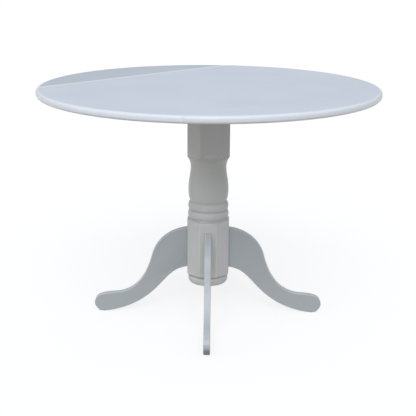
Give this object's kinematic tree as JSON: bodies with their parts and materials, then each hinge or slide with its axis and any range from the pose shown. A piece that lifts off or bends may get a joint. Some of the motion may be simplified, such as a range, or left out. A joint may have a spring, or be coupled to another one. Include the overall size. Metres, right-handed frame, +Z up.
{
  "type": "drop-leaf pedestal table",
  "caption": "Round white drop-leaf dining table: a turned and faceted pedestal on splayed legs, with leaves that fold down on hinges and folding stays.",
  "frame": {"origin": "on the floor under the centre of the round top, on the column axis", "axes": "+Z up along the column; X along the two hinge lines; the rear leaf is at +Y and the front leaf at -Y; the legs stand on the diagonals between X and Y"},
  "size_m": [1.0666, 1.0666, 0.7493],
  "materials": {
    "painted_top": "white satin lacquer on smooth board",
    "painted_pedestal": "white satin paint on turned and sawn hardwood",
    "bare_wood": "planed, unpainted",
    "steel": "bright rolled steel",
    "zinc_plate": "zinc plated steel"
  },
  "bodies": {
    "table": {"fixed_panel": "painted_top", "left_batten": "painted_pedestal", "right_batten": "painted_pedestal", "pedestal_block": "painted_pedestal", "column": "painted_pedestal", "rear_right_leg": "painted_pedestal", "rear_left_leg": "painted_pedestal", "front_left_leg": "painted_pedestal", "front_right_leg": "painted_pedestal", "foot_glides": "zinc_plate", "leg_bolts": "zinc_plate", "leg_washers": "zinc_plate", "leg_nuts": "zinc_plate", "leg_dowels": "bare_wood", "column_screws": "steel", "block_screws": "steel", "batten_screws": "steel", "panel_hardware_screws": "steel", "panel_flap_rear_left": "zinc_plate", "panel_flap_rear_right": "zinc_plate", "panel_flap_front_left": "zinc_plate", "panel_flap_front_right": "zinc_plate", "hinge_pins": "steel", "panel_plate_rear_left": "zinc_plate", "panel_plate_rear_right": "zinc_plate", "panel_plate_front_left": "zinc_plate", "panel_plate_front_right": "zinc_plate", "panel_rivets": "steel"},
    "rear_leaf": {"rear_leaf": "painted_top", "rear_leaf_screws": "steel", "leaf_flap_rear_left": "zinc_plate", "leaf_flap_rear_right": "zinc_plate", "leaf_plate_rear_left": "zinc_plate", "leaf_plate_rear_right": "zinc_plate", "rear_leaf_rivets": "steel"},
    "front_leaf": {"front_leaf": "painted_top", "front_leaf_screws": "steel", "leaf_flap_front_left": "zinc_plate", "leaf_flap_front_right": "zinc_plate", "leaf_plate_front_left": "zinc_plate", "leaf_plate_front_right": "zinc_plate", "front_leaf_rivets": "steel"},
    "panel_arm_rear_left": {"panel_arm_rear_left": "steel", "knuckle_rivet_rear_left": "steel"},
    "panel_arm_rear_right": {"panel_arm_rear_right": "steel", "knuckle_rivet_rear_right": "steel"},
    "panel_arm_front_left": {"panel_arm_front_left": "steel", "knuckle_rivet_front_left": "steel"},
    "panel_arm_front_right": {"panel_arm_front_right": "steel", "knuckle_rivet_front_right": "steel"},
    "leaf_arm_rear_left": {"leaf_arm_rear_left": "steel"},
    "leaf_arm_rear_right": {"leaf_arm_rear_right": "steel"},
    "leaf_arm_front_left": {"leaf_arm_front_left": "steel"},
    "leaf_arm_front_right": {"leaf_arm_front_right": "steel"}
  },
  "joints": [
    {"name": "rear_leaf_hinge", "type": "hinge", "parent": "table", "child": "rear_leaf", "pos_m": [0, 0.33, 0.7235], "axis": [1, 0, 0], "range_deg": [-90, 0]},
    {"name": "panel_arm_rear_left_pivot", "type": "hinge", "parent": "table", "child": "panel_arm_rear_left", "pos_m": [-0.15, 0.25, 0.7155], "axis": [1, 0, 0], "range_deg": [-90, 0]},
    {"name": "leaf_arm_rear_left_pivot", "type": "hinge", "parent": "rear_leaf", "child": "leaf_arm_rear_left", "pos_m": [-0.15, 0.41, 0.7155], "axis": [1, 0, 0], "range_deg": [0, 90]},
    {"name": "panel_arm_rear_right_pivot", "type": "hinge", "parent": "table", "child": "panel_arm_rear_right", "pos_m": [0.15, 0.25, 0.7155], "axis": [1, 0, 0], "range_deg": [-90, 0]},
    {"name": "leaf_arm_rear_right_pivot", "type": "hinge", "parent": "rear_leaf", "child": "leaf_arm_rear_right", "pos_m": [0.15, 0.41, 0.7155], "axis": [1, 0, 0], "range_deg": [0, 90]},
    {"name": "front_leaf_hinge", "type": "hinge", "parent": "table", "child": "front_leaf", "pos_m": [0, -0.33, 0.7235], "axis": [-1, 0, 0], "range_deg": [-90, 0]},
    {"name": "panel_arm_front_left_pivot", "type": "hinge", "parent": "table", "child": "panel_arm_front_left", "pos_m": [-0.15, -0.25, 0.7155], "axis": [-1, 0, 0], "range_deg": [-90, 0]},
    {"name": "leaf_arm_front_left_pivot", "type": "hinge", "parent": "front_leaf", "child": "leaf_arm_front_left", "pos_m": [-0.15, -0.41, 0.7155], "axis": [-1, 0, 0], "range_deg": [0, 90]},
    {"name": "panel_arm_front_right_pivot", "type": "hinge", "parent": "table", "child": "panel_arm_front_right", "pos_m": [0.15, -0.25, 0.7155], "axis": [-1, 0, 0], "range_deg": [-90, 0]},
    {"name": "leaf_arm_front_right_pivot", "type": "hinge", "parent": "front_leaf", "child": "leaf_arm_front_right", "pos_m": [0.15, -0.41, 0.7155], "axis": [-1, 0, 0], "range_deg": [0, 90]}
  ],
  "couplings": [
    {"joint": "panel_arm_rear_left_pivot", "follows": "rear_leaf_hinge", "ratio": 1},
    {"joint": "leaf_arm_rear_left_pivot", "follows": "rear_leaf_hinge", "ratio": -1},
    {"joint": "panel_arm_rear_right_pivot", "follows": "rear_leaf_hinge", "ratio": 1},
    {"joint": "leaf_arm_rear_right_pivot", "follows": "rear_leaf_hinge", "ratio": -1},
    {"joint": "panel_arm_front_left_pivot", "follows": "front_leaf_hinge", "ratio": 1},
    {"joint": "leaf_arm_front_left_pivot", "follows": "front_leaf_hinge", "ratio": -1},
    {"joint": "panel_arm_front_right_pivot", "follows": "front_leaf_hinge", "ratio": 1},
    {"joint": "leaf_arm_front_right_pivot", "follows": "front_leaf_hinge", "ratio": -1}
  ]
}
